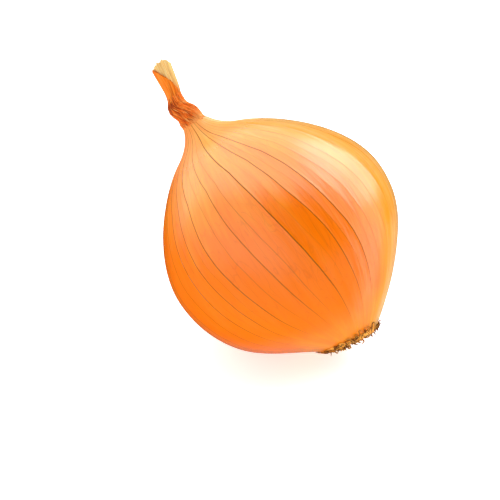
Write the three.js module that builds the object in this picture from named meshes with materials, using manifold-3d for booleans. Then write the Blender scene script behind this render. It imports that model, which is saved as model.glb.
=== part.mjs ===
// A whole dry onion lying on its flank: the neck points up towards -X, the roots down towards +X.
// Millimetres, +Z up. The origin is the middle of the small flat spot that the onion rests on.
//
// Both pieces are drawn as they grew, upright, with the root plate at height 0 and the growth axis
// along +Z. Then they are laid down together by LIE_ANGLE, and the flank is flattened where it rests.

import * as THREE from 'three';
import { mergeVertices } from 'three/addons/utils/BufferGeometryUtils.js';
import Module from 'manifold-3d';

const wasm = await Module();
wasm.setup();

// Driving dimensions, in mm and degrees. Heights are along the growth axis, from the root plate.
const BULB_DIAMETER = 82.0; // across the widest ring of the bulb
const EQUATOR_HEIGHT = 42.3; // height of that widest ring
const SHOULDER_HEIGHT = 81.7; // height where the round shoulder turns in to the neck
const SHOULDER_RADIUS = 13.3; // radius there
const SHOULDER_SLOPE = 27; // slope of the shoulder there, from level
const HOLLOW_HEIGHT = 10.6; // from the shoulder's turn to the foot of the neck
const NECK_LENGTH = 20.7; // from the foot of the neck to its cut end
const NECK_FOOT_WIDTH = 8.0; // across the neck at its foot
const NECK_WAIST_WIDTH = 5.5; // across it where it is pinched
const NECK_END_WIDTH = 7.2; // across its cut end, where the dry sheaths open
const NECK_FLATNESS = 0.72; // thickness of the neck over its width
const NECK_KINK = 1.0; // sideways set of the neck just under its waist, away from FULL_SIDE
const NECK_LEAN = 11; // how far the neck leans off the growth axis above its waist
const NECK_CUT_SLANT = 18; // slope of the cut across the neck's end
const PLATE_RADIUS = 11.0; // the flat root plate under the bulb
const PLATE_TILT = 7.5; // tilt of the root plate, down towards FULL_SIDE
const FULL_SIDE = 42.2; // compass angle of the bulb's fuller side, where the neck leans to as well
const BELLY = 1.4; // how far the middle of the bulb bulges to that side
const LIE_ANGLE = 44.4; // growth axis from upright, as the onion lies
const FLAT_DEPTH = 1.1; // depth of flank that is missing at the flat spot
const MAT_THICKNESS = 0.8; // the crust that the dry roots stand on
const ROOT_LENGTH = 1.6; // a dry root stub, from the crust's face to its tip
const ROOT_THICKNESS = 1.1; // a stub where it leaves the crust
const ROOT_COUNT = 34; // stubs round the crust's rim
const CLEARANCE = 0.3; // gap from the roots to the bulb, and from the roots to the surface below

const SEGMENTS_ROUND = 72;
const rad = THREE.MathUtils.degToRad;
const bulbRadius = BULB_DIAMETER / 2;
const neckFoot = SHOULDER_HEIGHT + HOLLOW_HEIGHT;
const neckWaist = neckFoot + 0.4 * NECK_LENGTH;
const neckTop = neckFoot + NECK_LENGTH;
const fullSide = new THREE.Vector2(Math.cos(rad(FULL_SIDE)), Math.sin(rad(FULL_SIDE)));

// Half of the bulb's outline, from the middle of the root plate to the middle of the neck's end:
// the flat plate, a full curve up to and over the equator, a hollow curve in to the neck, and the
// neck, which is pinched at its waist and widens to its end.
function outline() {
  const { lerp } = THREE.MathUtils;
  const rim = new THREE.Vector2(PLATE_RADIUS, 0);
  const equator = new THREE.Vector2(bulbRadius, EQUATOR_HEIGHT);
  const shoulder = new THREE.Vector2(SHOULDER_RADIUS, SHOULDER_HEIGHT);
  const slope = new THREE.Vector2(-Math.cos(rad(SHOULDER_SLOPE)), Math.sin(rad(SHOULDER_SLOPE)));
  const foot = new THREE.Vector2(NECK_FOOT_WIDTH / 2, neckFoot);

  const lower = new THREE.CubicBezierCurve(
    rim,
    new THREE.Vector2(lerp(rim.x, equator.x, 0.32), 0.165 * equator.y),
    new THREE.Vector2(equator.x, 0.415 * equator.y),
    equator,
  );
  const upper = new THREE.CubicBezierCurve(
    equator,
    new THREE.Vector2(equator.x, lerp(equator.y, shoulder.y, 0.47)),
    shoulder.clone().addScaledVector(slope, -0.36 * (equator.x - shoulder.x)),
    shoulder,
  );
  const hollow = new THREE.CubicBezierCurve(
    shoulder,
    shoulder.clone().addScaledVector(slope, 0.7 * (shoulder.x - foot.x)),
    new THREE.Vector2(foot.x + 0.2, neckFoot - 0.36 * HOLLOW_HEIGHT),
    foot,
  );
  const neck = new THREE.SplineCurve([
    foot,
    new THREE.Vector2(NECK_WAIST_WIDTH / 2, neckWaist),
    new THREE.Vector2(NECK_END_WIDTH / 2, neckTop),
  ]);
  return [
    new THREE.Vector2(0, 0),
    new THREE.Vector2(PLATE_RADIUS / 2, 0),
    ...lower.getPoints(13),
    ...upper.getPoints(12).slice(1),
    ...hollow.getPoints(7).slice(1),
    ...neck.getPoints(9).slice(1),
    new THREE.Vector2(0, neckTop),
  ];
}

// How far the root plate's face lies below level, at a distance towards the full side.
const plateDrop = (towardsFullSide) => towardsFullSide * Math.tan(rad(PLATE_TILT));

// The growth that a turned shape lacks, at one point of it. The body swells and sinks in a few
// broad lobes and its belly is fuller on one side. The neck is pleated, flattened, kinked at its
// waist and leans over. Its cut end and the root plate are both out of square.
function grow(point) {
  const { clamp, lerp, smoothstep } = THREE.MathUtils;
  const angle = Math.atan2(point.y, point.x) - rad(FULL_SIDE);
  const radius = Math.hypot(point.x, point.y);
  const height = point.z;
  const inNeck = smoothstep(height, SHOULDER_HEIGHT + 0.2 * HOLLOW_HEIGHT, lerp(neckFoot, neckWaist, 0.25));
  const inBody = smoothstep(height, 0, EQUATOR_HEIGHT / 2) * (1 - inNeck);

  const lobes = 0.004 * Math.cos(3 * angle + 0.8) + 0.003 * Math.cos(5 * angle - 1.9);
  const twist = angle + 0.05 * (height - SHOULDER_HEIGHT);
  const pleats = 0.05 * Math.cos(7 * twist) + 0.03 * Math.cos(11 * twist + 1.3);
  const grown = radius * (1 + lobes * inBody + pleats * inNeck);

  const towards = grown * Math.cos(angle);
  const across = grown * Math.sin(angle) * lerp(1, NECK_FLATNESS, inNeck);
  const belly = BELLY * Math.sin(Math.PI * clamp(height / neckFoot, 0, 1));
  const overKink = height - lerp(neckFoot, neckWaist, 0.75);
  const kink = NECK_KINK * Math.exp(-((overKink / (0.16 * NECK_LENGTH)) ** 2));
  const leaning = Math.max(0, overKink);
  const lean = Math.tan(rad(NECK_LEAN)) * leaning * (leaning / (leaning + 1));
  const out = towards + belly - kink + lean;

  const nearPlate = clamp(1 - height / (EQUATOR_HEIGHT / 2), 0, 1) ** 2;
  const nearCut = smoothstep(height, neckWaist, neckTop);
  point.set(
    out * fullSide.x - across * fullSide.y,
    out * fullSide.y + across * fullSide.x,
    height - plateDrop(towards) * nearPlate - towards * Math.tan(rad(NECK_CUT_SLANT)) * nearCut,
  );
}

// Moves every vertex of a geometry by one rule.
function reshape(geometry, rule) {
  const places = geometry.attributes.position;
  const point = new THREE.Vector3();
  for (let i = 0; i < places.count; i += 1) {
    rule(point.fromBufferAttribute(places, i));
    places.setXYZ(i, point.x, point.y, point.z);
  }
  return geometry;
}

// A closed geometry as a solid that can be joined and cut, and back.
function solidFrom(geometry) {
  const bare = geometry.clone();
  bare.deleteAttribute('normal');
  bare.deleteAttribute('uv');
  const merged = mergeVertices(bare, 1e-4);
  return new wasm.Manifold(new wasm.Mesh({
    numProp: 3,
    vertProperties: new Float32Array(merged.attributes.position.array),
    triVerts: new Uint32Array(merged.index.array),
  }));
}

function geometryFrom(solid) {
  const { vertProperties, triVerts } = solid.getMesh();
  const geometry = new THREE.BufferGeometry();
  geometry.setAttribute('position', new THREE.BufferAttribute(vertProperties, 3));
  geometry.setIndex(new THREE.BufferAttribute(triVerts, 1));
  geometry.computeVertexNormals();
  return geometry;
}

// A turned shape with its axis along +Z, from an outline of (radius, height) points.
const turned = (points, segments) => new THREE.LatheGeometry(points, segments).rotateX(Math.PI / 2);

// The crust of old root ends: a thin domed disc just under the root plate.
function crust() {
  const radius = PLATE_RADIUS - 0.6;
  const points = [
    new THREE.Vector2(0, -CLEARANCE - MAT_THICKNESS),
    new THREE.Vector2(0.6 * radius, -CLEARANCE - 0.9 * MAT_THICKNESS),
    new THREE.Vector2(0.9 * radius, -CLEARANCE - 0.6 * MAT_THICKNESS),
    new THREE.Vector2(radius, -CLEARANCE - 0.3 * MAT_THICKNESS),
    new THREE.Vector2(0.97 * radius, -CLEARANCE),
    new THREE.Vector2(0, -CLEARANCE),
  ];
  return turned(points, 36);
}

// One ring of dry root stubs that stand on the crust and splay outwards.
function rootRing(count, share, splay, length) {
  const stubs = [];
  for (let i = 0; i < count; i += 1) {
    const uneven = Math.sin(2.4 * i) + 0.6 * Math.sin(5.1 * i + share);
    const stubLength = MAT_THICKNESS / 2 + length * (1 + 0.18 * uneven);
    const stub = new THREE.CylinderGeometry(0.25 * ROOT_THICKNESS, ROOT_THICKNESS / 2, stubLength, 5);
    stub.translate(0, stubLength / 2, 0);
    stub.rotateX(-Math.PI / 2);
    stub.rotateY(-rad(splay + 7 * uneven));
    stub.translate(share * (PLATE_RADIUS - 1.6), 0, -CLEARANCE - MAT_THICKNESS / 2);
    stub.rotateZ((2 * Math.PI * (i + 0.2 * uneven)) / count + share);
    stubs.push(solidFrom(stub));
  }
  return stubs;
}

// Everything below a level, as one big block.
function blockBelow(level) {
  const size = 4 * neckTop;
  return solidFrom(new THREE.BoxGeometry(size, size, size).translate(0, 0, level - size / 2));
}

const layDown = (geometry) => geometry.rotateY(-rad(LIE_ANGLE));

// The bulb with its neck, laid down and lowered so that FLAT_DEPTH of its flank can be taken off.
const flank = layDown(reshape(turned(outline(), SEGMENTS_ROUND), grow));
flank.computeBoundingBox();
const lift = -flank.boundingBox.min.z - FLAT_DEPTH;
const bulb = new THREE.Mesh(
  geometryFrom(solidFrom(flank.translate(0, 0, lift)).subtract(blockBelow(0))),
  new THREE.MeshStandardMaterial({ color: '#ef8f3f', roughness: 0.42, metalness: 0 }),
);
bulb.name = 'bulb';

// The dry roots: one crust with three rings of stubs, kept just clear of the surface below.
const rings = [
  ...rootRing(ROOT_COUNT, 1, 30, ROOT_LENGTH),
  ...rootRing(Math.round(0.6 * ROOT_COUNT), 0.7, 18, 0.9 * ROOT_LENGTH),
  ...rootRing(Math.round(0.3 * ROOT_COUNT), 0.36, 8, 0.8 * ROOT_LENGTH),
];
const tuft = rings.reduce((joined, stub) => joined.add(stub), solidFrom(crust()));
const tiltWithPlate = (point) => {
  point.z -= plateDrop(point.x * fullSide.x + point.y * fullSide.y);
};
const laidTuft = layDown(reshape(geometryFrom(tuft), tiltWithPlate)).translate(0, 0, lift);
const roots = new THREE.Mesh(
  geometryFrom(solidFrom(laidTuft).subtract(blockBelow(CLEARANCE))),
  new THREE.MeshStandardMaterial({ color: '#8f6436', roughness: 0.9, metalness: 0 }),
);
roots.name = 'roots';

// The group is shifted so that the middle of the flat spot is the origin.
const flatSpot = new THREE.Box3();
reshape(bulb.geometry, (point) => {
  if (Math.abs(point.z) < 1e-3) flatSpot.expandByPoint(point);
});
const middle = flatSpot.getCenter(new THREE.Vector3());
const onion = new THREE.Group();
onion.add(bulb, roots);
onion.position.set(-middle.x, -middle.y, 0);

export default onion;
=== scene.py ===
# One whole dry onion on a pale table in a light tent.
# It lies on its flank, with the neck up and to the left and the dry roots down and to the right.
import math

import bpy
import numpy as np
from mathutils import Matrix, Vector, noise


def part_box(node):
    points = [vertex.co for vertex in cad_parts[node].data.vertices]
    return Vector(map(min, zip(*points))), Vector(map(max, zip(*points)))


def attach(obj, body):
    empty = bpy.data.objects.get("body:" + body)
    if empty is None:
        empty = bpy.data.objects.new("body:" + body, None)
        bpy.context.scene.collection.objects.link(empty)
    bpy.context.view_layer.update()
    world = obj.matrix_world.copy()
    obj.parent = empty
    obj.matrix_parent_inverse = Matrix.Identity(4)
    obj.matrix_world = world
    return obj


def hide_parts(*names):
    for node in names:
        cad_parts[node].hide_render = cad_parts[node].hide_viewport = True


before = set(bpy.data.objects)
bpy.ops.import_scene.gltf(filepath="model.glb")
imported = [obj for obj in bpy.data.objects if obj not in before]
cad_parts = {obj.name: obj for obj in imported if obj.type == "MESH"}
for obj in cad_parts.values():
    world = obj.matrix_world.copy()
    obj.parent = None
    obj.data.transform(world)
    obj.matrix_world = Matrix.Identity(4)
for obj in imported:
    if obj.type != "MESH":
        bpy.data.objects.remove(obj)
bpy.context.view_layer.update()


# ---------------------------------------------------------------- skin
# The outer skin is the onion's outermost leaf base, dried to a tight papery sheet on the bulb that
# it grew with. Its veins run from the root plate to the neck, where the dry sheet is gathered.

# The bulb grew round one axis, from the root plate at height 0 to the cut end of the neck, and lies
# down with that axis LIE_ANGLE off upright. Heights are in mm along the axis and radii in mm from it.
MM = 0.001
EQUATOR_HEIGHT = 42.3
SHOULDER_HEIGHT = 81.7  # where the bulging side turns hollow
SHOULDER_RADIUS = 13.3
SHOULDER_SLOPE = 27  # degrees that the side rises there
NECK_FOOT = 92.3
NECK_WAIST = 100.58
NECK_TOP = 113.0
NECK_FOOT_WIDTH = 8.0
NECK_WAIST_WIDTH = 5.5
NECK_END_WIDTH = 7.2
NECK_FLATNESS = 0.72  # its depth over its width
NECK_KINK = 1.0  # mm that the foot of the neck bends away from the full side
NECK_LEAN = 11  # degrees that the neck above leans towards the full side
NECK_CUT_SLANT = 18
PLATE_RADIUS = 9.4
PLATE_TILT = 10.5
FULL_SIDE = math.radians(42.2)  # the side that grew fuller, as an angle round the axis
BELLY = 1.4  # mm that the bulb stands out on that side
SLIM_FLANK = 1.2  # mm that it is slimmer there by the root plate
LIE_ANGLE = math.radians(44.4)

bulb_low, bulb_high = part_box("bulb")
bulb_radius = (bulb_high.y - bulb_low.y) / 2 / MM


def bezier(start, leave, arrive, end, count):
    """A cubic curve through (radius, height) points."""
    t = np.linspace(0, 1, count)[:, None]
    points = [np.array(p, float) for p in (start, leave, arrive, end)]
    weights = ((1 - t) ** 3, 3 * t * (1 - t) ** 2, 3 * t * t * (1 - t), t**3)
    return sum(w * p for w, p in zip(weights, points))


def outline():
    """The bulb's side from the rim of the root plate to the end of the neck. The bare shares say
    how long the handles of its curves are."""
    slope = math.radians(SHOULDER_SLOPE)
    inward = np.array([-math.cos(slope), math.sin(slope)])
    rim = (PLATE_RADIUS, 0)
    equator = (bulb_radius, EQUATOR_HEIGHT)
    shoulder = np.array([SHOULDER_RADIUS, SHOULDER_HEIGHT])
    foot = np.array([NECK_FOOT_WIDTH / 2, NECK_FOOT])
    waist = np.array([NECK_WAIST_WIDTH / 2, NECK_WAIST])
    end = np.array([NECK_END_WIDTH / 2, NECK_TOP])
    lower = bezier(
        rim,
        (rim[0] + 0.32 * (bulb_radius - rim[0]), 0.165 * EQUATOR_HEIGHT),
        (bulb_radius, 0.415 * EQUATOR_HEIGHT),
        equator,
        120,
    )
    upper = bezier(
        equator,
        (bulb_radius, EQUATOR_HEIGHT + 0.47 * (SHOULDER_HEIGHT - EQUATOR_HEIGHT)),
        shoulder - 0.36 * (bulb_radius - SHOULDER_RADIUS) * inward,
        shoulder,
        120,
    )
    hollow = bezier(
        shoulder,
        shoulder + 0.7 * (SHOULDER_RADIUS - foot[0]) * inward,
        (foot[0] + 0.2, NECK_FOOT - 0.36 * (NECK_FOOT - SHOULDER_HEIGHT)),
        foot,
        60,
    )
    lower_neck = bezier(foot, (foot[0] - 0.15, foot[1] + 2.4), (waist[0], waist[1] - 2.4), waist, 30)
    upper_neck = bezier(waist, (waist[0], waist[1] + 3.6), (end[0] - 0.3, end[1] - 5), end, 30)
    return np.vstack([lower, upper[1:], hollow[1:], lower_neck[1:], upper_neck[1:]])


side = outline()
side_length = np.concatenate([[0], np.cumsum(np.hypot(*np.diff(side, axis=0).T))])


def on_side(distance):
    """Radius and height at a distance along the skin from the rim of the root plate."""
    radius = np.interp(distance, side_length, side[:, 0])
    return radius, np.interp(distance, side_length, side[:, 1])


def distance_at(height):
    """Distance along the skin at a height."""
    return np.interp(height, side[:, 1], side_length)


def step(value, low, high):
    """A smooth rise from 0 to 1 between two values."""
    t = np.clip((value - low) / (high - low), 0, 1)
    return t * t * (3 - 2 * t)


def grow(angle, radius, height, lift=0.0):
    """Places in the growth frame, in mm, for angles in radians, with the onion's own unevenness.
    lift moves them off the surface."""
    angle, radius, height = np.broadcast_arrays(angle, radius, height)
    turned = angle - FULL_SIDE
    in_neck = step(height, SHOULDER_HEIGHT + 2.1, NECK_FOOT + 2.1)
    in_body = step(height, 0, EQUATOR_HEIGHT / 2) * (1 - in_neck)
    lobes = 0.004 * np.cos(3 * turned + 0.8) + 0.003 * np.cos(5 * turned - 1.9)
    by_plate = step(height, -3, 8) * (1 - step(height, 8, 36))
    slim = SLIM_FLANK * np.clip(np.cos(turned), 0, 1) * by_plate
    grown = radius * (1 + lobes * in_body) + lift - slim
    towards = grown * np.cos(turned)
    across = grown * np.sin(turned) * (1 + (NECK_FLATNESS - 1) * in_neck)
    belly = BELLY * np.sin(np.pi * np.clip(height / NECK_FOOT, 0, 1))
    over_kink = height - (0.25 * NECK_FOOT + 0.75 * NECK_WAIST)
    kink = NECK_KINK * np.exp(-((over_kink / 3.3) ** 2))
    leaning = np.maximum(0, over_kink)
    lean = math.tan(math.radians(NECK_LEAN)) * leaning * leaning / (leaning + 1)
    out = towards + belly - kink + lean
    near_plate = np.clip(1 - height / (EQUATOR_HEIGHT / 2), 0, 1) ** 2
    near_cut = step(height, NECK_WAIST, NECK_TOP)
    drop = towards * math.tan(math.radians(PLATE_TILT)) * near_plate
    slant = towards * math.tan(math.radians(NECK_CUT_SLANT)) * near_cut
    x = out * math.cos(FULL_SIDE) - across * math.sin(FULL_SIDE)
    y = out * math.sin(FULL_SIDE) + across * math.cos(FULL_SIDE)
    return np.stack([x, y, height - drop - slant], axis=-1)


def lay_down(points):
    """Growth frame in mm to the lying onion in metres, before it is shifted into place."""
    x, y, z = np.moveaxis(points, -1, 0)
    cos, sin = math.cos(LIE_ANGLE), math.sin(LIE_ANGLE)
    return np.stack([x * cos - z * sin, y, x * sin + z * cos], axis=-1) * MM


# The plain shape is laid down once and matched to the CAD bulb's box, which gives the shift that
# every piece needs.
plain = lay_down(grow(np.linspace(0, 2 * np.pi, 180, endpoint=False)[None, :], *side.T[:, :, None]))
plain_low = plain.min(axis=(0, 1))
plain_high = plain.max(axis=(0, 1))
settle = np.array([
    bulb_low.x - plain_low[0],
    (bulb_low.y + bulb_high.y - plain_low[1] - plain_high[1]) / 2,
    bulb_high.z - plain_high[2],
])


def place(points):
    """Growth frame in mm to the onion's place in the CAD frame, in metres. What would sink through
    the table is flattened on it, as the real flank is, with a small soft bend at the edge."""
    points = lay_down(points) + settle
    bend = 0.2 * MM
    points[..., 2] = (points[..., 2] + np.sqrt(points[..., 2] ** 2 + bend**2)) / 2
    return points


def round_axis(angle):
    """Places on a circle of radius 1 round the axis, to look up noise at."""
    return np.stack([np.cos(angle), np.sin(angle), np.zeros_like(angle)], axis=-1)


def along_axis(height):
    """Places on the axis, to look up noise at."""
    return np.stack([np.zeros_like(height), np.zeros_like(height), height], axis=-1)


def rough(places, seed=0.0):
    """Soft noise from about -1 to 1 at each place, with features of about one unit."""
    flat = np.asarray(places, float).reshape(-1, 3)
    values = [noise.noise(Vector((x + seed, y - seed, z + 2 * seed))) for x, y, z in flat]
    return np.array(values).reshape(np.shape(places)[:-1])


# Veins where the onion is widest, as (degrees round the axis, strength): first those of the front,
# then the rest of the way round.
FRONT_VEINS = [
    (-108, 0.6), (-99, 0.8), (-94.5, 0.15), (-90, 0.75), (-85, 0.2), (-80.5, 0.85), (-72, 0.3),
    (-64, 0.7), (-56.5, 0.35), (-45.5, 1.0), (-39, 0.12), (-32, 0.8), (-27, 0.25), (-21.5, 0.9),
    (-16, 0.2), (-11, 0.4), (-6, 0.2), (-1, 0.5),
]
BACK_VEINS = 24
BACK_START = 9  # degrees
BACK_SPAN = 243  # degrees
VEIN_LEAN = 0.22  # degrees that a vein turns for each mm down the bulb
VEIN_RIDGE = 0.05  # mm that a vein stands out of the skin
VEIN_WIDTH = 0.3  # mm from a vein's middle to where its ridge has sunk to a third
PANEL_DISH = 0.03  # mm that the skin sinks between two veins
ACROSS = (0, 0.035, 0.1, 0.25, 0.5, 0.75, 0.9, 0.965)  # columns of the mesh from vein to vein
BODY_ROW = 0.9  # mm between rows of the mesh on the body
NECK_ROW = 0.34  # and on the hollow and the neck

chance = np.random.default_rng(7)
back_angles = BACK_START + BACK_SPAN / BACK_VEINS * np.arange(BACK_VEINS)
back_angles = back_angles + chance.uniform(-2.4, 2.4, BACK_VEINS)
back_strengths = chance.uniform(0.3, 1.0, BACK_VEINS)
vein_angles = np.array([angle for angle, _ in FRONT_VEINS] + list(back_angles))
vein_strengths = np.array([strength for _, strength in FRONT_VEINS] + list(back_strengths))

gather_start = distance_at(SHOULDER_HEIGHT + 1)
skin_end = distance_at(NECK_WAIST + 1.5)
rows = np.concatenate([
    np.linspace(0, gather_start, int(gather_start / BODY_ROW), endpoint=False),
    np.linspace(gather_start, skin_end, int((skin_end - gather_start) / NECK_ROW)),
])
row_radius, row_height = on_side(rows)


def vein_courses(heights):
    """The angle of every vein at every height: a lean that grows towards the neck, and a wander."""
    lean = VEIN_LEAN * (EQUATOR_HEIGHT - heights) - 0.35 * np.clip(heights - 68, 0, 24)
    apart = 7.3 * np.arange(len(vein_angles))  # so that each vein wanders by itself
    spots = np.meshgrid(heights, apart, [0.0], indexing="ij")
    spots = np.stack(spots, axis=-1)[:, :, 0]
    slow = rough(spots * (1 / 17, 1, 1))
    quick = rough(spots * (1 / 5, 1, 1), seed=3.7)
    return vein_angles[None, :] + lean[:, None] + 0.95 * slow + 0.2 * quick


courses = vein_courses(row_height)
next_courses = np.roll(courses, -1, axis=1)
next_courses[:, -1] += 360
gaps = (next_courses - courses)[:, :, None]
gap_mm = np.radians(gaps) * row_radius[:, None, None]
across = np.array(ACROSS)
next_strengths = np.roll(vein_strengths, -1)
nearest_strength = np.where(across[None, :] <= 0.5, vein_strengths[:, None], next_strengths[:, None])
grid = (len(rows), len(vein_angles), len(across))
columns = grid[1] * grid[2]


def as_grid(values):
    """Values for (row, vein, column between veins) as one row of values for each row of the mesh."""
    return np.broadcast_to(values, grid).reshape(grid[0], columns)


skin_angle = as_grid(np.radians(courses[:, :, None] + gaps * across))
skin_height = np.broadcast_to(row_height[:, None], skin_angle.shape)
skin_radius = np.broadcast_to(row_radius[:, None], skin_angle.shape)
from_vein = as_grid(np.minimum(across, 1 - across) * gap_mm)
strength = as_grid(nearest_strength[None])
middle = as_grid(4 * across * (1 - across))
wide_gap = as_grid(step(gap_mm, 1.0, 4.0))
round_it = round_axis(skin_angle)
along_it = along_axis(skin_height)

# The relief, in mm off the plain shape: ridges on the veins, dished panels, slow unevenness, faint
# wrinkles, and gathers towards the neck. The skin sinks where the neck wrap covers it.
under_wrap = step(skin_height, 89, 91.5)
ridge_growth = step(skin_height, 3, 30) * 0.75 + 0.25
gathers = 0.3 * step(skin_height, 83, 88) * rough(round_it * 2.6 + along_it / 9, seed=9.2)
relief = VEIN_RIDGE * strength * ridge_growth * np.exp(-((from_vein / VEIN_WIDTH) ** 2)) * (1 - under_wrap)
relief -= PANEL_DISH * middle * wide_gap
relief += 0.25 * rough(round_it * 1.6 + along_it / 30, seed=4.4) * (1 - under_wrap)
relief += 0.035 * rough(round_it * 9 + along_it / 26, seed=8.8) * wide_gap
relief += gathers * (1 - under_wrap)
relief -= 0.45 * under_wrap

# The sheet turns in under the rim, with a ragged lip, and closes over the root plate. At the top it
# closes inside the neck, where the dry sheaths hide it.
lip_noise = rough(round_it[0] * 9, seed=2.2)
lip = ((0.001, 0.9, 0), (0.45, 0.9, 0), (0.83, 0.8, 0), (0.9, 0.1, 0.25), (0.955, -0.12, 0.2))
under = []
for share, height, ragged in lip:
    under.append(grow(skin_angle[0], share * PLATE_RADIUS, height + ragged * lip_noise))
cap = [grow(skin_angle[-1], share * row_radius[-1], row_height[-1] + 0.3) for share in (0.6, 0.01)]
body_points = grow(skin_angle, skin_radius, skin_height, relief)
skin_points = place(np.concatenate([np.stack(under), body_points, np.stack(cap)]))
skin_rows = len(skin_points)


def ring_faces(rows, columns):
    """Quads between rows of points that close on themselves, facing outwards as the rows rise."""
    faces = []
    for row in range(rows - 1):
        for column in range(columns):
            after = (column + 1) % columns
            here = row * columns
            above = here + columns
            faces.append((here + column, here + after, above + after, above + column))
    return faces


skin_faces = ring_faces(skin_rows, columns)
skin_faces.append(tuple(reversed(range(columns))))
skin_faces.append(tuple((skin_rows - 1) * columns + column for column in range(columns)))


def colour(code):
    """An sRGB hex colour as the linear RGBA that a shader takes."""
    channels = [int(code[i:i + 2], 16) / 255 for i in (1, 3, 5)]
    return [c / 12.92 if c <= 0.04045 else ((c + 0.055) / 1.055) ** 2.4 for c in channels] + [1.0]


def new_material(name):
    """A material with an empty node tree and its output."""
    material = bpy.data.materials.new(name)
    material.use_nodes = True
    material.node_tree.nodes.clear()
    output = material.node_tree.nodes.new("ShaderNodeOutputMaterial")
    return material, material.node_tree, output


def add_node(tree, kind, inputs=None, **settings):
    """Adds a shader node, sets its properties, and sets or links its inputs."""
    node = tree.nodes.new("ShaderNode" + kind)
    for name, value in settings.items():
        setattr(node, name, value)
    for key, value in (inputs or {}).items():
        if isinstance(value, bpy.types.NodeSocket):
            tree.links.new(value, node.inputs[key])
        else:
            node.inputs[key].default_value = value
    return node


# Dry papery onion skin: a thin, slightly waxy film over pale juicy scales. It gives a satin gloss
# with soft edges, streaks along the veins, and a little warm light from within. grain is 1 for each
# bulb radius, 41 mm, both round the bulb and along it.
skin_material, tree, output = new_material("dry papery onion skin")
vein_mm = add_node(tree, "Attribute", attribute_name="vein_mm").outputs["Fac"]
vein_force = add_node(tree, "Attribute", attribute_name="vein_force").outputs["Fac"]
grain = add_node(tree, "Attribute", attribute_name="grain").outputs["Vector"]
tone_with_painted_light = add_node(tree, "Attribute", attribute_name="tone_with_painted_light").outputs["Fac"]
dull = add_node(tree, "Attribute", attribute_name="dull").outputs["Fac"]

# Streaks 2.6 mm wide and 37 mm long, and clouds of 11 by 26 mm, shift the tone from deep orange to
# pale straw.
streak_place = add_node(tree, "VectorMath", {0: grain, 1: (16.0, 16.0, 1.1)}, operation="MULTIPLY")
streaks = add_node(
    tree, "TexNoise", {"Vector": streak_place.outputs[0], "Scale": 1.0, "Detail": 4.0, "Roughness": 0.6}
)
cloud_place = add_node(tree, "VectorMath", {0: grain, 1: (3.6, 3.6, 1.6)}, operation="MULTIPLY")
clouds = add_node(
    tree, "TexNoise", {"Vector": cloud_place.outputs[0], "Scale": 1.0, "Detail": 3.0, "Roughness": 0.55}
)
# The tone from the mesh carries painted light: a glow along the rim and pale painted highlights.
tone_streaked = add_node(
    tree, "Math", {0: streaks.outputs["Fac"], 1: 0.34, 2: tone_with_painted_light}, operation="MULTIPLY_ADD"
)
tone_clouded = add_node(
    tree, "Math", {0: clouds.outputs["Fac"], 1: 0.5, 2: tone_streaked.outputs[0]}, operation="MULTIPLY_ADD"
)
tone_centred = add_node(tree, "Math", {0: tone_clouded.outputs[0], 1: 0.42}, operation="SUBTRACT")
body_colour = add_node(tree, "ValToRGB", {"Fac": tone_centred.outputs[0]})
ramp = body_colour.color_ramp
ramp.elements[0].position, ramp.elements[0].color = 0.0, colour("#f87200")
ramp.elements[1].position, ramp.elements[1].color = 1.0, colour("#fcc070")
ramp.elements.new(0.35).color = colour("#fe7a00")
ramp.elements.new(0.68).color = colour("#fe9c0c")

# Hair-thin fibres along the veins. Real ones are 0.2 mm wide, too fine to show, so these are drawn
# 0.8 mm wide and 19 mm long.
hair_place = add_node(tree, "VectorMath", {0: grain, 1: (52.0, 52.0, 2.2)}, operation="MULTIPLY")
hairs = add_node(
    tree, "TexNoise", {"Vector": hair_place.outputs[0], "Scale": 1.0, "Detail": 3.0, "Roughness": 0.6}
)
hair_line = add_node(
    tree, "MapRange", {"Value": hairs.outputs["Fac"], "From Min": 0.56, "From Max": 0.74, "To Max": 0.3}
)
haired = add_node(
    tree, "Mix", {"Factor": hair_line.outputs[0], 6: body_colour.outputs[0], 7: colour("#c85c08")},
    data_type="RGBA",
)

# The faint net of cross veins, in long meshes of 2.6 by 20 mm bent by the clouds.
net_bend = add_node(
    tree, "VectorMath", {0: clouds.outputs["Color"], 1: (0.9, 0.9, 0.9), 2: cloud_place.outputs[0]},
    operation="MULTIPLY_ADD",
)
net_place = add_node(
    tree, "VectorMath", {0: net_bend.outputs[0], 1: (4.4, 4.4, 1.3)}, operation="MULTIPLY"
)
net = add_node(
    tree, "TexVoronoi", {"Vector": net_place.outputs[0], "Scale": 1.0}, feature="DISTANCE_TO_EDGE"
)
net_line = add_node(
    tree, "MapRange",
    {"Value": net.outputs["Distance"], "From Min": 0.008, "From Max": 0.04, "To Min": 0.14, "To Max": 0.0},
)
netted = add_node(
    tree, "Mix", {"Factor": net_line.outputs[0], 6: haired.outputs[2], 7: colour("#b45008")},
    data_type="RGBA",
)

# The veins: brown lines half a millimetre wide, which are a little rougher and hardly shine.
vein_line = add_node(
    tree, "MapRange",
    {"Value": vein_mm, "From Min": 0.06, "From Max": 0.26, "To Min": 1.0, "To Max": 0.0},
    interpolation_type="SMOOTHSTEP",
)
vein_cover = add_node(tree, "Math", {0: vein_line.outputs[0], 1: vein_force}, operation="MULTIPLY")
veined = add_node(
    tree, "Mix", {"Factor": vein_cover.outputs[0], 6: netted.outputs[2], 7: colour("#6a4600")},
    data_type="RGBA",
)
sheen = add_node(
    tree, "Mix", {"Factor": vein_cover.outputs[0], 6: colour("#fff0e2"), 7: colour("#201808")},
    data_type="RGBA",
)
satin = add_node(tree, "Math", {0: streaks.outputs["Fac"], 1: 0.24, 2: 0.06}, operation="MULTIPLY_ADD")
satin_veins = add_node(
    tree, "Math", {0: vein_cover.outputs[0], 1: 0.1, 2: satin.outputs[0]}, operation="MULTIPLY_ADD"
)
satin_by_neck = add_node(tree, "Math", {0: satin_veins.outputs[0], 1: dull}, operation="ADD")

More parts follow.
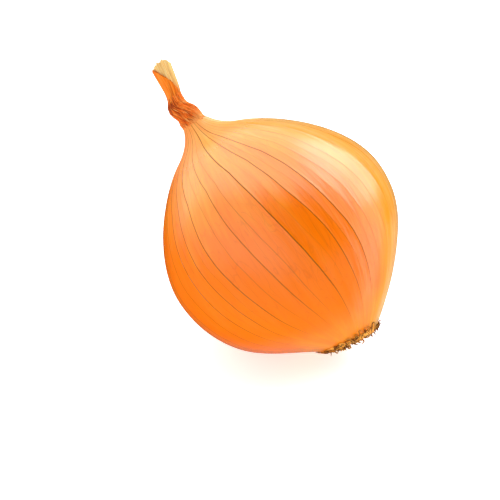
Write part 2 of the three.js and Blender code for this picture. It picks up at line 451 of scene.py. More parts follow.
# Fine grain of the dried cells, which are 0.1 mm wide: drawn 0.6 mm wide and 4.6 mm long.
fine_place = add_node(tree, "VectorMath", {0: grain, 1: (70.0, 70.0, 9.0)}, operation="MULTIPLY")
fine_grain = add_node(
    tree, "TexNoise", {"Vector": fine_place.outputs[0], "Scale": 1.0, "Detail": 3.0, "Roughness": 0.6}
)
streak_bump = add_node(tree, "Bump", {"Height": streaks.outputs["Fac"], "Strength": 0.35, "Distance": 0.0004})
grain_bump = add_node(
    tree, "Bump",
    {
        "Height": fine_grain.outputs["Fac"],
        "Strength": 0.35,
        "Distance": 0.00012,
        "Normal": streak_bump.outputs[0],
    },
)
papery = add_node(
    tree, "BsdfPrincipled",
    {
        "Base Color": veined.outputs[2],
        "Roughness": satin_by_neck.outputs[0],
        "Specular IOR Level": 1.0,
        "Specular Tint": sheen.outputs[2],
        "Normal": grain_bump.outputs[0],
        "Subsurface Weight": 0.1,
        "Subsurface Radius": (1.0, 0.35, 0.08),
        "Subsurface Scale": 0.0015,
        "IOR": 1.6,
    },
)
tree.links.new(papery.outputs[0], output.inputs[0])


def piece(name, points, faces, material):
    """A smooth-shaded mesh piece that rides on the onion's one body."""
    mesh = bpy.data.meshes.new(name)
    mesh.from_pydata(np.asarray(points).reshape(-1, 3).tolist(), [], faces)
    mesh.polygons.foreach_set("use_smooth", [True] * len(mesh.polygons))
    mesh.materials.append(material)
    obj = bpy.data.objects.new(name, mesh)
    bpy.context.scene.collection.objects.link(obj)
    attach(obj, "root")
    return obj


def mark(obj, name, values):
    """Stores one number, or one vector, for each vertex, for the material to read."""
    values = np.asarray(values, np.float32)
    kind, key = ("FLOAT_VECTOR", "vector") if values.ndim > 1 else ("FLOAT", "value")
    layer = obj.data.attributes.new(name, kind, "POINT")
    layer.data.foreach_set(key, values.ravel())


def over_all(values):
    """One value for each vertex of the skin: its turned-in rows take those of the nearest row."""
    values = np.broadcast_to(values, skin_angle.shape)
    below = np.repeat(values[:1], len(under), axis=0)
    above = np.repeat(values[-1:], len(cap), axis=0)
    return np.concatenate([below, values, above]).ravel()


# The skin's tone holds painted light: a golden glow painted along the full side's rim, a paler
# shoulder that is partly its own colour and partly painted highlight, and painted light by the root
# plate and on the left flank. Its veins fade towards both ends, and it is dull where it is drawn in
# to the neck.
turn = skin_angle - FULL_SIDE
painted_rim_glow = np.clip(np.cos(turn + 0.2), 0, 1) ** 6
painted_left_sheen = np.clip(np.cos(turn + 1.7), 0, 1) ** 2
tones_with_painted_light = 0.27 + 0.62 * painted_rim_glow
tones_with_painted_light = tones_with_painted_light + 0.17 * step(skin_height, 58, 80)
tones_with_painted_light = tones_with_painted_light + 0.24 * (1 - step(skin_height, 2, 15))
tones_with_painted_light = tones_with_painted_light + 0.21 * painted_left_sheen * step(skin_height, 40, 66)
vein_darkening = step(skin_height, 2, 28) * 0.85 + 0.15
vein_forces = (0.04 + 0.86 * strength) * vein_darkening * (1 - 0.45 * step(skin_height, 84, 90))

skin = piece("skin", skin_points, skin_faces, skin_material)
mark(skin, "vein_mm", over_all(from_vein))
mark(skin, "vein_force", over_all(vein_forces))
mark(skin, "tone_with_painted_light", over_all(tones_with_painted_light))
mark(skin, "dull", over_all(0.34 * step(skin_height, 74, 86)))
skin_grain = (round_it[..., 0], round_it[..., 1], rows[:, None] / bulb_radius)
mark(skin, "grain", np.stack([over_all(part) for part in skin_grain], axis=-1))
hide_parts("bulb")


# ---------------------------------------------------------------- neck wrap
# Above the shoulder the outer leaf bases have dried hard and brittle. They are gathered and twisted
# into reddish pleats, with painted shade in their creases, and end below in a ragged edge on the
# smooth skin.

WRAP_LOW = 89.6
WRAP_HIGH = 101.6
WRAP_THICKNESS = 0.3
WRAP_TWIST = 0.085  # radians that the pleats turn for each mm up the neck
WRAP_COLUMNS = 260
WRAP_ROWS = 64

wrap_angle = np.linspace(0, 2 * np.pi, WRAP_COLUMNS, endpoint=False)[None, :]
wrap_up = np.linspace(0, 1, WRAP_ROWS)[:, None]
around = round_axis(wrap_angle)
wrap_edge = WRAP_LOW + 1.4 * rough(around * 2.1, seed=1.3) + 1.3 * rough(around * 7, seed=5.1)
wrap_edge -= 1.6 * np.abs(rough(around * 15, seed=3.1)) - 0.2
wrap_height = wrap_edge + (WRAP_HIGH - wrap_edge) * wrap_up
wound_round = round_axis(wrap_angle + WRAP_TWIST * (wrap_height - 88))
rising = along_axis(wrap_height)

pleats = rough(wound_round * 2.4 + rising / 12, seed=9.2)
fine_pleats = rough(wound_round * 7.0 + rising / 5, seed=2.4)
threads = rough(wound_round * 13 + rising / 8, seed=7.7)
knuckles = rough(wound_round * 1.3 + rising / 2.6, seed=6.6)
creases = np.clip(1 - 5.5 * np.abs(pleats), 0, 1) ** 1.4
fine_creases = np.clip(1 - 3.8 * np.abs(fine_pleats), 0, 1) ** 1.4
thread_creases = np.clip(1 - 3.2 * np.abs(threads), 0, 1) ** 1.5

# How far it stands off the neck, in mm: it lies close at its lower edge and under the sheaths.
settled_edge = step(wrap_up, 0.0, 0.22)
wrap_lift = 0.4 * pleats + 0.34 * fine_pleats + 0.16 * threads
wrap_lift += 0.3 - 0.3 * creases - 0.35 * fine_creases
wrap_lift += 0.55 * knuckles * step(wrap_height, 91, 94) * (1 - step(wrap_height, 98.5, 101))
wrap_lift = wrap_lift * (0.25 + 0.75 * settled_edge) - 0.05 * (1 - settled_edge)
wrap_lift = wrap_lift * (1 - 0.85 * step(wrap_up, 0.82, 1.0))
wrap_inner = np.minimum(wrap_lift - WRAP_THICKNESS, -0.1)
wrap_radius = np.interp(wrap_height, side[:, 1], side[:, 0])

# Hard dried leaf bases: matt and brittle, reddish with golden crests, darkened in their folds with
# painted shade, and paler below where they turn into smooth skin. grain is 1 for each neck radius of
# 3 to 5 mm and for each 4 mm up the neck, so the fibres are 0.3 mm wide and 2 mm long.
wrap_material, tree, output = new_material("dried leaf wrap")
grain = add_node(tree, "Attribute", attribute_name="grain").outputs["Vector"]
painted_crease_shade = add_node(tree, "Attribute", attribute_name="painted_crease_shade").outputs["Fac"]
above = add_node(tree, "Attribute", attribute_name="above").outputs["Fac"]
fibre_place = add_node(tree, "VectorMath", {0: grain, 1: (13.0, 13.0, 1.8)}, operation="MULTIPLY")
fibres = add_node(
    tree, "TexNoise", {"Vector": fibre_place.outputs[0], "Scale": 1.0, "Detail": 5.0, "Roughness": 0.7}
)
fibre_colour = add_node(tree, "ValToRGB", {"Fac": fibres.outputs["Fac"]})
ramp = fibre_colour.color_ramp
ramp.elements[0].position, ramp.elements[0].color = 0.34, colour("#d44800")
ramp.elements[1].position, ramp.elements[1].color = 0.64, colour("#ffc070")
ramp.elements.new(0.46).color = colour("#ff7414")
ramp.elements.new(0.56).color = colour("#ff8e2c")
ragged = add_node(tree, "Math", {0: fibres.outputs["Fac"], 1: 5.0, 2: above}, operation="MULTIPLY_ADD")
hardened = add_node(
    tree, "MapRange", {"Value": ragged.outputs[0], "From Min": 2.4, "From Max": 4.4},
    interpolation_type="SMOOTHSTEP",
)
gathered = add_node(
    tree, "Mix", {"Factor": hardened.outputs[0], 6: colour("#fba050"), 7: fibre_colour.outputs[0]},
    data_type="RGBA",
)
shadowed = add_node(
    tree, "Mix", {"Factor": painted_crease_shade, 6: gathered.outputs[2], 7: colour("#8a2400")}, data_type="RGBA"
)
fibre_bump = add_node(tree, "Bump", {"Height": fibres.outputs["Fac"], "Strength": 0.6, "Distance": 0.0002})
brittle = add_node(
    tree, "BsdfPrincipled",
    {
        "Base Color": shadowed.outputs[2],
        "Roughness": 0.6,
        "IOR": 1.4,
        "Specular IOR Level": 0.25,
        "Normal": fibre_bump.outputs[0],
    },
)
tree.links.new(brittle.outputs[0], output.inputs[0])


def leaf(name, outer, inner, material, closed=True):
    """A thin solid sheet between an outer and an inner grid of points, with its rims joined.
    A closed one runs right round; an open one has two more rims along its sides."""
    rows, columns = outer.shape[:2]
    count = rows * columns
    faces = ring_faces(rows, columns)
    if not closed:
        faces = [face for number, face in enumerate(faces) if (number + 1) % columns]
    faces += [tuple(count + corner for corner in reversed(face)) for face in faces]
    last = (rows - 1) * columns
    for column in range(columns if closed else columns - 1):
        after = (column + 1) % columns
        faces.append((after, column, count + column, count + after))
        faces.append((last + column, last + after, count + last + after, count + last + column))
    if not closed:
        for row in range(rows - 1):
            here = row * columns
            above = here + columns
            faces.append((here, above, count + above, count + here))
            here += columns - 1
            above += columns - 1
            faces.append((above, here, count + here, count + above))
    return piece(name, np.concatenate([outer.reshape(-1, 3), inner.reshape(-1, 3)]), faces, material)


def both_faces(values):
    """A leaf's grid of numbers or of vectors, for its outer face and again for its inner face."""
    flat = values.reshape(-1, 3) if values.ndim == 3 else values.ravel()
    return np.concatenate([flat, flat])


neck_wrap = leaf(
    "neck_wrap",
    place(grow(wrap_angle, wrap_radius, wrap_height, wrap_lift)),
    place(grow(wrap_angle, wrap_radius, wrap_height, wrap_inner)),
    wrap_material,
)
# Painted shade in the folds: darkest in the tuck under the sheath and fainter on the full side,
# where the lower edge also lies smooth and runs out into the skin.
to_full_side = np.cos(wrap_angle - FULL_SIDE)
tuck_shade_side = np.clip(np.cos(wrap_angle - FULL_SIDE + 2.6), 0, 1) ** 2
painted_tuck_shade = np.exp(-(((wrap_height - 99.2) / 1.5) ** 2)) * tuck_shade_side
smooth_foot = (1 - step(wrap_height, 91.5, 95)) * step(to_full_side, 0.0, 0.8)
wrap_painted_shade = 0.45 * creases + 0.75 * fine_creases + 0.5 * thread_creases + 0.6 * painted_tuck_shade - 0.18
wrap_painted_shade = np.clip(wrap_painted_shade, 0, 0.92) * (0.25 + 0.75 * settled_edge)
wrap_painted_shade = wrap_painted_shade * (1 - 0.45 * step(to_full_side, -0.5, 0.6))
wrap_painted_shade = wrap_painted_shade * (1 - 0.8 * smooth_foot)
above_edge = wrap_height - wrap_edge - 2.2 * step(to_full_side, -0.4, 0.9)
wrap_grain = np.stack([wound_round[..., 0], wound_round[..., 1], wrap_height / 4], axis=-1)
mark(neck_wrap, "painted_crease_shade", both_faces(wrap_painted_shade))
mark(neck_wrap, "above", both_faces(above_edge))
mark(neck_wrap, "grain", both_faces(wrap_grain))
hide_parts("bulb")


# ---------------------------------------------------------------- neck sheaths
# The leaves that stood above the neck have dried to flat papery sheaths, one rolled in another, and
# were cut off. The outer one is orange, with an oblique torn edge; the inner ones are pale straw.

SHEATH_LOW = 97.5
SHEATH_THICKNESS = 0.28
SHEATH_ROWS = 56

# Dried leaf sheath: matt and fibrous like straw paper, orange where it holds the bulb's colour and
# pale towards its cut end, with painted shade in its folds, at its foot and along the torn edge. Its
# fibres are 0.3 mm wide and 8 mm long on the same kind of grain as the wrap's.
sheath_material, tree, output = new_material("dried leaf sheath")
grain = add_node(tree, "Attribute", attribute_name="grain").outputs["Vector"]
straw = add_node(tree, "Attribute", attribute_name="straw").outputs["Fac"]
shade = add_node(tree, "Attribute", attribute_name="shade").outputs["Fac"]
fibre_place = add_node(tree, "VectorMath", {0: grain, 1: (11.0, 11.0, 0.5)}, operation="MULTIPLY")
fibres = add_node(
    tree, "TexNoise", {"Vector": fibre_place.outputs[0], "Scale": 1.0, "Detail": 5.0, "Roughness": 0.7}
)
orange_leaf = add_node(tree, "ValToRGB", {"Fac": fibres.outputs["Fac"]})
ramp = orange_leaf.color_ramp
ramp.elements[0].position, ramp.elements[0].color = 0.32, colour("#d05000")
ramp.elements[1].position, ramp.elements[1].color = 0.7, colour("#ffb048")
ramp.elements.new(0.5).color = colour("#ff7e08")
straw_leaf = add_node(tree, "ValToRGB", {"Fac": fibres.outputs["Fac"]})
ramp = straw_leaf.color_ramp
ramp.elements[0].position, ramp.elements[0].color = 0.32, colour("#dc9a44")
ramp.elements[1].position, ramp.elements[1].color = 0.68, colour("#ffe8a4")
ramp.elements.new(0.5).color = colour("#fac878")
leaf_colour = add_node(
    tree, "Mix", {"Factor": straw, 6: orange_leaf.outputs[0], 7: straw_leaf.outputs[0]}, data_type="RGBA"
)
shaded = add_node(
    tree, "Mix", {"Factor": shade, 6: leaf_colour.outputs[2], 7: colour("#6e2606")}, data_type="RGBA"
)
fibre_bump = add_node(tree, "Bump", {"Height": fibres.outputs["Fac"], "Strength": 0.7, "Distance": 0.00015})
straw_paper = add_node(
    tree, "BsdfPrincipled",
    {
        "Base Color": shaded.outputs[2],
        "Roughness": 0.6,
        "IOR": 1.4,
        "Specular IOR Level": 0.25,
        "Normal": fibre_bump.outputs[0],
    },
)
tree.links.new(straw_paper.outputs[0], output.inputs[0])


def sheath(name, first, last, columns, top, sink, straw_low, seed, rim_shade=0, closed=False):
    """One dried leaf from an angle to another, in degrees from the full side. top gives its top edge
    for each angle, sink how far inside the neck's outline it lies, straw_low where it turns pale, and
    rim_shade how dark the painted shade line along its torn edge is."""
    turn = np.radians(np.linspace(first, last, columns, endpoint=not closed))[None, :]
    circle = round_axis(turn + FULL_SIDE)
    edge = top(np.degrees(turn)) + 0.6 * rough(circle * 5, seed=seed)
    edge = edge + 0.5 * rough(circle * 14, seed=seed + 2)
    rise = np.linspace(0, 1, SHEATH_ROWS)[:, None]
    heights = SHEATH_LOW + (edge - SHEATH_LOW) * rise
    angles = np.broadcast_to(turn + FULL_SIDE, heights.shape)
    radius = np.interp(heights, side[:, 1], side[:, 0])

    folds = rough(circle * 2.2 + along_axis(heights) / 34, seed=seed + 4)
    ribs = rough(circle * 6.5 + along_axis(heights) / 30, seed=seed + 6)
    open_up = step(heights, 100, 112)
    lift = (0.3 + 0.25 * open_up) * folds + 0.13 * ribs - sink * (0.35 + 0.65 * open_up)
    lift -= 0.5 * (1 - step(heights, 98, 101))
    thin = SHEATH_THICKNESS * (1 - 0.6 * step(rise, 0.85, 1.0))
    outer = place(grow(angles, radius, heights, lift))
    inner = place(grow(angles, radius, heights, lift - thin))
    made = leaf(name, outer, inner, sheath_material, closed)

    wave = rough(circle * 1.5, seed=seed + 8)
    paleness = step(heights, straw_low - 4, straw_low + 5 + 2 * wave)
    # Painted shade: darker in the folds and at the foot, where the sheath stands in the wrap, with a painted
    # shade line along the orange sheath's torn edge.
    painted_fold_shade = np.clip(1 - 5 * np.abs(folds), 0, 1) * 0.35 * (1 - 0.7 * open_up)
    foot_shade = 0.45 * (1 - step(heights, 99.5, 103.5)) * (0.5 + ribs)
    painted_edge_shade = rim_shade * (0.3 + 0.4 * rough(circle * 4, seed=seed + 9)) * step(rise, 0.95, 0.985)
    mark(made, "straw", both_faces(paleness))
    mark(made, "shade", both_faces(np.clip(painted_fold_shade + foot_shade + painted_edge_shade, 0, 0.9)))
    mark(made, "grain", both_faces(np.stack([np.cos(angles), np.sin(angles), heights / 4], axis=-1)))
    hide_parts("bulb")


def outer_top(turn):
    """The oblique torn edge: high round the back and falling away across the front."""
    edge = (105.5, 111.8, 110.8, 107.8, 104.6, 102.2, 100.2)
    return np.interp(turn, (-232, -165, -130, -90, -60, -40, -25), edge)


def inner_top(turn):
    """A cut edge that stands a little higher in front."""
    return 112.2 + 1.7 * np.exp(-((turn + 72) / 55) ** 2)


def core_top(turn):
    """A lower cut edge, inside the others."""
    return 110.2 + 0.8 * np.cos(np.radians(turn - 60))


sheath("outer_sheath", -232, -18, 150, outer_top, sink=0.0, straw_low=118, seed=11.0, rim_shade=1)
sheath("inner_sheath", -180, 180, 200, inner_top, sink=0.5, straw_low=102, seed=23.0, closed=True)
sheath("core_leaf", -150, 150, 120, core_top, sink=1.5, straw_low=104, seed=37.0)


# ---------------------------------------------------------------- root plate
# The hard corky stem that the leaves grew from. It shrank as it dried, so it lies a little inside
# the rim of the skin, pitted where old roots fell off.

PLATE_DEPTH = 0.55
PLATE_COLUMNS = 96
PLATE_RINGS = 24

# Dry cork: dull brown, with blotches of 1.4 mm and pits of 1.1 mm. The scales count them per metre.
cork_material, tree, output = new_material("dry corky root plate")
spot = add_node(tree, "TexCoord").outputs["Object"]
pits = add_node(tree, "TexVoronoi", {"Vector": spot, "Scale": 900.0})
cork = add_node(tree, "TexNoise", {"Vector": spot, "Scale": 700.0, "Detail": 5.0, "Roughness": 0.65})
cork_colour = add_node(tree, "ValToRGB", {"Fac": cork.outputs["Fac"]})
ramp = cork_colour.color_ramp
ramp.elements[0].position, ramp.elements[0].color = 0.32, colour("#6a3c14")
ramp.elements[1].position, ramp.elements[1].color = 0.7, colour("#d8a050")
cork_bump = add_node(tree, "Bump", {"Height": pits.outputs["Distance"], "Strength": 0.8, "Distance": 0.0004})
corky = add_node(
    tree, "BsdfPrincipled",
    {
        "Base Color": cork_colour.outputs[0],
        "Roughness": 0.85,
        "IOR": 1.4,
        "Normal": cork_bump.outputs[0],
    },
)
tree.links.new(corky.outputs[0], output.inputs[0])

plate_angle = np.linspace(0, 2 * np.pi, PLATE_COLUMNS, endpoint=False)
plate_round = round_axis(plate_angle)
plate_rings = []
for share, height in ((0.82, 0.6), (0.9, 0.2), (0.92, -PLATE_DEPTH)):
    plate_rings.append(grow(plate_angle, share * PLATE_RADIUS, height))
for radius in np.linspace(0.87 * PLATE_RADIUS, 0.05, PLATE_RINGS):
    knobs = rough(plate_round * radius / 1.3, seed=4.4)
    knobs = knobs + 0.5 * rough(plate_round * radius / 0.6, seed=8.1)
    hollow = 0.35 * (1 - radius / PLATE_RADIUS)
    plate_rings.append(grow(plate_angle, radius, -PLATE_DEPTH - 0.15 + 0.3 * knobs - hollow))
last_ring = (len(plate_rings) - 1) * PLATE_COLUMNS
plate_faces = [tuple(reversed(face)) for face in ring_faces(len(plate_rings), PLATE_COLUMNS)]
plate_faces.append(tuple(range(PLATE_COLUMNS)))
plate_faces.append(tuple(last_ring + column for column in reversed(range(PLATE_COLUMNS))))
root_plate = piece("root_plate", place(np.stack(plate_rings)), plate_faces, cork_material)
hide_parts("roots")


# ---------------------------------------------------------------- torn rim
# The lowest edges of the outer leaves, which tore and curled as the root plate shrank. They stand
# round it as a thin golden frill with brown burnt-looking edges.

RIM_REACH = 3.2  # mm that the frill reaches up the skin
RIM_THICKNESS = 0.16
RIM_COLUMNS = 300
RIM_ROWS = 16


def by_rim(angle, distance, lift):
    """A place near the rim of the root plate: distance runs up the skin from the rim, or inwards
    under the plate where negative, and lift stands off the surface."""
    radius, height = on_side(np.maximum(distance, 0))
    turn = step(distance, -1.2, 1.0)
    outward = 0.59 * turn
    downward = 1 - 0.19 * turn
    return grow(angle, radius + np.minimum(distance, 0) + outward * lift, height - downward * lift)


rim_angle = np.linspace(0, 2 * np.pi, RIM_COLUMNS, endpoint=False)[None, :]
rim_round = round_axis(rim_angle)
tatter = rough(rim_round * 5, seed=1.7) + 0.8 * rough(rim_round * 16, seed=6.3)
upper_tatter = rough(rim_round * 6, seed=9.7) + 0.7 * rough(rim_round * 19, seed=2.3)
rim_up = np.linspace(0, 1, RIM_ROWS)[:, None]
rim_start = -1.1 + 0.45 * tatter
rim_end = RIM_REACH * (0.55 + 0.5 * upper_tatter)
rim_distance = rim_start + (np.maximum(rim_end, 0.5) - rim_start) * rim_up
rim_angles = np.broadcast_to(rim_angle, rim_distance.shape)
ripple = rough(rim_round * 8 + along_axis(rim_distance / 2), seed=3.3)
curl = (1 - rim_up) ** 2
rim_lift = 0.14 + 0.1 * ripple + curl * (0.55 + 0.4 * tatter)
rim_lift += 0.3 * np.clip(upper_tatter, 0, 1) * rim_up**4

# Torn dry leaf edge: thin, matt and golden, and singed brown where it curls, with a faint painted
# shade line along its top edge, where it meets the skin. Its flecks are 0.5 mm wide and 1 mm long.
rim_material, tree, output = new_material("torn dry leaf edge")
grain = add_node(tree, "Attribute", attribute_name="grain").outputs["Vector"]
edge = add_node(tree, "Attribute", attribute_name="edge").outputs["Fac"]
flecks = add_node(tree, "TexNoise", {"Vector": grain, "Scale": 1.0, "Detail": 4.0, "Roughness": 0.7})
singed = add_node(tree, "Math", {0: flecks.outputs["Fac"], 1: 0.9, 2: edge}, operation="MULTIPLY_ADD")
rim_colour = add_node(tree, "ValToRGB", {"Fac": singed.outputs[0]})
ramp = rim_colour.color_ramp
ramp.elements[0].position, ramp.elements[0].color = 0.3, colour("#fcb04a")
ramp.elements[1].position, ramp.elements[1].color = 0.98, colour("#6a3408")
ramp.elements.new(0.55).color = colour("#f0a040")
ramp.elements.new(0.75).color = colour("#c87a20")
rim_bump = add_node(tree, "Bump", {"Height": flecks.outputs["Fac"], "Strength": 0.6, "Distance": 0.0002})
frill = add_node(
    tree, "BsdfPrincipled",
    {
        "Base Color": rim_colour.outputs[0],
        "Roughness": 0.7,
        "IOR": 1.4,
        "Specular IOR Level": 0.15,
        "Normal": rim_bump.outputs[0],
    },
)
tree.links.new(frill.outputs[0], output.inputs[0])

torn_rim = leaf(
    "torn_rim",
    place(by_rim(rim_angles, rim_distance, rim_lift)),
    place(by_rim(rim_angles, rim_distance, rim_lift - RIM_THICKNESS)),
    rim_material,
)
# Singed brown where it curls, plus a faint painted shade line along the top edge.
rim_singe_and_edge_shade = np.broadcast_to(0.6 * curl**2 + 0.04 * rim_up**8 - 0.1, rim_angles.shape)
rim_grain = np.stack([18 * np.cos(rim_angles), 18 * np.sin(rim_angles), rim_distance], axis=-1)
mark(torn_rim, "edge", both_faces(rim_singe_and_edge_shade))
mark(torn_rim, "grain", both_faces(rim_grain))
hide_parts("bulb")


# ---------------------------------------------------------------- dry roots
# The roots were trimmed short and have dried to brittle brown curls. Some stand out of the plate,
# and those by its rim are bent back over the skin.

STUB_COUNT = 100
HOOK_COUNT = 130
ROOT_SIDES = 6
ROOT_RINGS = 11
TUFT_SIDE = 300  # degrees from the full side to the thickest tuft

# Dry root: dull and wiry, mottled from dark brown to straw in blotches of 0.7 mm.
root_material, tree, output = new_material("dry brown root")
tint = add_node(tree, "Attribute", attribute_name="tint").outputs["Fac"]
spot = add_node(tree, "TexCoord").outputs["Object"]
blotches = add_node(tree, "TexNoise", {"Vector": spot, "Scale": 1400.0, "Detail": 3.0})
mottled = add_node(tree, "Math", {0: blotches.outputs["Fac"], 1: 0.45, 2: tint}, operation="MULTIPLY_ADD")
root_colour = add_node(tree, "ValToRGB", {"Fac": mottled.outputs[0]})
ramp = root_colour.color_ramp
ramp.elements[0].position, ramp.elements[0].color = 0.12, colour("#361804")
ramp.elements[1].position, ramp.elements[1].color = 1.1, colour("#e0a850")
ramp.elements.new(0.5).color = colour("#6e3c10")
ramp.elements.new(0.8).color = colour("#b87c30")
root_bump = add_node(tree, "Bump", {"Height": blotches.outputs["Fac"], "Strength": 0.5, "Distance": 0.0001})
wiry = add_node(
    tree, "BsdfPrincipled",
    {
        "Base Color": root_colour.outputs[0],
        "Roughness": 0.75,
        "IOR": 1.4,
        "Specular IOR Level": 0.15,
        "Normal": root_bump.outputs[0],
    },
)
tree.links.new(wiry.outputs[0], output.inputs[0])

root_vertices = []
root_faces = []
root_tints = []


def add_root(path, thickness, tint_value):
    """A round tapering root along a path of points in metres."""
    tangent = np.gradient(path, axis=0)
    tangent /= np.linalg.norm(tangent, axis=1)[:, None] + 1e-12
    side_way = np.cross(tangent, (0.3, 0.5, 0.81))
    side_way /= np.linalg.norm(side_way, axis=1)[:, None] + 1e-12
    other_way = np.cross(tangent, side_way)
    turns = 2 * np.pi * np.arange(ROOT_SIDES) / ROOT_SIDES
    start = sum(len(ring) for ring in root_vertices)
    last = len(path) - 1
    for ring, centre in enumerate(path):
        closing = 1 if 0 < ring < last else 0.55
        size = thickness * MM * (1 - 0.55 * ring / last) * closing
        offsets = np.cos(turns)[:, None] * side_way[ring] + np.sin(turns)[:, None] * other_way[ring]
        root_vertices.append(centre + size * offsets)
    for face in ring_faces(len(path), ROOT_SIDES):
        root_faces.append(tuple(start + corner for corner in face))
    root_faces.append(tuple(start + corner for corner in reversed(range(ROOT_SIDES))))
    root_faces.append(tuple(start + last * ROOT_SIDES + corner for corner in range(ROOT_SIDES)))
    root_tints.extend([tint_value] * (len(path) * ROOT_SIDES))


chance = np.random.default_rng(21)
along = np.linspace(0, 1, ROOT_RINGS)
for _ in range(STUB_COUNT):
    angle = chance.uniform(0, 2 * np.pi)
    radius = 0.88 * PLATE_RADIUS * math.sqrt(chance.uniform(0.03, 1))
    length = chance.uniform(0.8, 1.9)
    swing = chance.uniform(-1.2, 1.2)
    lean_out = chance.uniform(-0.5, 0.5)
    wave = chance.uniform(0, 6.3)
    radii = radius + lean_out * along * 1.3 + 0.25 * np.sin(wave + 4 * along)
    angles = angle + (swing * along**2 + 0.25 * np.sin(wave + 5 * along)) / max(radius, 3)
    heights = -0.35 - length * np.sin(along * chance.uniform(1.2, 2.4))
    add_root(place(grow(angles, radii, heights)), chance.uniform(0.2, 0.36), chance.uniform(0.1, 0.9))
for _ in range(HOOK_COUNT):
    angle = chance.uniform(0, 2 * np.pi)
    from_tuft = math.degrees(angle - FULL_SIDE) % 360 - TUFT_SIDE
    tuft = 1 + 0.8 * math.exp(-((from_tuft / 30) ** 2))
    begin = chance.uniform(-0.7, 1.0) * tuft
    reach = chance.uniform(0.4, 2.6) * tuft
    swing = chance.uniform(-2.0, 2.0)
    wave = chance.uniform(0, 6.3)
    distances = begin + reach * np.sin(along * chance.uniform(1.3, 2.6))
    angles = angle + (swing * along**1.5 + 0.3 * np.sin(wave + 5 * along)) / PLATE_RADIUS
    lifts = 0.36 + chance.uniform(0.0, 0.4) * np.sin(np.pi * along) + 0.12 * np.sin(wave + 7 * along)
    lifts += chance.uniform(0.2, 1.1) * (1 - step(distances, -0.7, 0.5))
    add_root(place(by_rim(angles, distances, lifts)), chance.uniform(0.1, 0.21), chance.uniform(0.0, 0.65))

dry_roots = piece("dry_roots", np.concatenate(root_vertices), root_faces, root_material)
mark(dry_roots, "tint", root_tints)
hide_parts("roots")


# ---------------------------------------------------------------- studio
# A camera with a long lens, a plain pale table, and a light tent round them. The tent is a world
# shader of soft-edged parts, each bright in the directions round one axis.

CAMERA_DISTANCE = 468.8  # mm
CAMERA_LEFT = 11.24  # mm, which leaves the onion a little right of the middle
CAMERA_DOWN = 3.44  # mm, which leaves it a little above the middle
camera_turn = math.radians(32.9)
camera_rise = math.radians(28.0)
back = Vector((
    math.sin(camera_turn) * math.cos(camera_rise),
    -math.cos(camera_turn) * math.cos(camera_rise),
    math.sin(camera_rise),
))
right = Vector((math.cos(camera_turn), math.sin(camera_turn), 0))
up = back.cross(right)
belly_spot = Vector((1.417, -0.101, 38.598))  # mm, near the middle of the bulb
camera = bpy.data.objects.new("camera", bpy.data.cameras.new("camera"))
bpy.context.scene.collection.objects.link(camera)
camera.data.lens = 100
camera.data.sensor_width = 36
camera.data.clip_start = 0.01
from_belly = CAMERA_DISTANCE * back - CAMERA_LEFT * right - CAMERA_DOWN * up
camera.location = belly_spot * MM + from_belly * MM
camera.rotation_euler = (-back).to_track_quat("-Z", "Y").to_euler()
bpy.context.scene.camera = camera

# Matt white painted board: evenly pale, with no grain to see. It gives off a little light of its own, a
# shade less red than white, so that it stays white and the onion's shadow on it doesn't turn pink.
# The skin doesn't mirror it: what would shine from below comes from the tent.
TABLE_REACH = 3.0  # metres
table_material, tree, output = new_material("matt white table")
board = add_node(
    tree, "BsdfPrincipled",
    {
        "Base Color": colour("#fafafa"),
        "Roughness": 0.8,
        "Emission Color": (0.9, 1, 1, 1),
        "Emission Strength": 0.62,
    },
)
tree.links.new(board.outputs[0], output.inputs[0])
table_mesh = bpy.data.meshes.new("table")
corners = [(TABLE_REACH * x, TABLE_REACH * y, 0) for x, y in ((-1, -1), (1, -1), (1, 1), (-1, 1))]
table_mesh.from_pydata(corners, [], [(0, 1, 2, 3)])
table_mesh.materials.append(table_material)
table = bpy.data.objects.new("table", table_mesh)
bpy.context.scene.collection.objects.link(table)
table.visible_glossy = False

world = bpy.data.worlds.new("light tent")
bpy.context.scene.world = world
world.use_nodes = True
tree = world.node_tree
direction = add_node(tree, "TexCoord").outputs["Generated"]


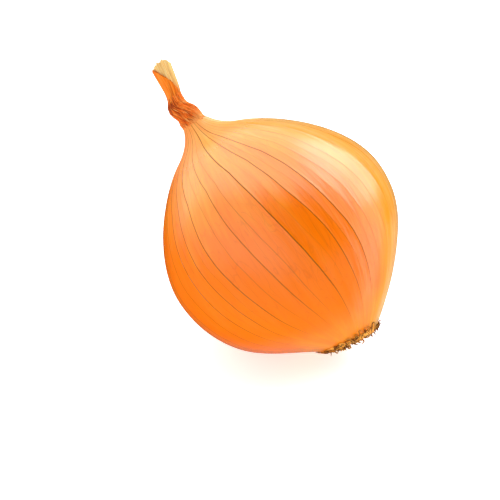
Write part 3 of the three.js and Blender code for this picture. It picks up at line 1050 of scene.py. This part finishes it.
def tent_side(axis, dim_from, bright_from):
    """A soft-edged part of the tent: 0 to 1 as the direction turns towards an axis."""
    towards = add_node(tree, "VectorMath", {0: direction, 1: tuple(axis)}, operation="DOT_PRODUCT")
    edge = {"Value": towards.outputs["Value"], "From Min": dim_from, "From Max": bright_from}
    return add_node(tree, "MapRange", edge, interpolation_type="SMOOTHSTEP").outputs[0]


# Where each part is. front keeps the wide glow and the soft box off what lies far behind the onion,
# except above its neck, and horizon and below keep two parts to one side of the table.
glow = tent_side(0.325 * right + 0.70 * up - 0.632 * back, -0.08, 0.22)
box = tent_side(0.62 * right + 0.77 * up - 0.12 * back, 0.78, 0.92)
top = tent_side(up, 0.6, 0.9)
fill = tent_side(-0.853 * right - 0.516 * up + 0.082 * back, -0.25, 0.35)
side_wall = tent_side(right, 0.86, 1.0)
floor_side = tent_side(0.45 * right - 0.4 * up - 0.8 * back, 0.66, 0.96)
facing = tent_side(back, -0.54, -0.44)
over_neck = tent_side(0.86 * up - 0.5 * right, 0.6, 0.75)
horizon = tent_side(Vector((0, 0, 1)), -0.4, 0.25)
below = tent_side(-up, -0.2, 0.1)
front = add_node(tree, "Math", {0: facing, 1: over_neck}, operation="MAXIMUM").outputs[0]
glow = add_node(tree, "Math", {0: glow, 1: front}, operation="MULTIPLY").outputs[0]
box = add_node(tree, "Math", {0: box, 1: front}, operation="MULTIPLY").outputs[0]
fill = add_node(tree, "Math", {0: fill, 1: horizon}, operation="MULTIPLY").outputs[0]
floor_side = add_node(tree, "Math", {0: floor_side, 1: below}, operation="MULTIPLY").outputs[0]

# How bright each part is, over a nearly dark ground. The tent itself is seen as plain white.
brightness = 0.012
for part, part_brightness in ((glow, 0.88), (box, 2.3), (top, 1.02), (fill, 0.88), (side_wall, 0.4),
                              (floor_side, 0.29)):
    brightness = add_node(
        tree, "Math", {0: part, 1: part_brightness, 2: brightness}, operation="MULTIPLY_ADD"
    ).outputs[0]
seen = add_node(tree, "LightPath").outputs["Is Camera Ray"]
brightness = add_node(tree, "Mix", {"Factor": seen, "A": brightness, "B": 1.0}).outputs[0]
tree.links.new(brightness, tree.nodes["Background"].inputs["Strength"])
tree.nodes["Background"].inputs["Color"].default_value = (1, 1, 1, 1)
bpy.context.scene.view_settings.view_transform = "Standard"
bpy.context.scene.view_settings.look = "None"
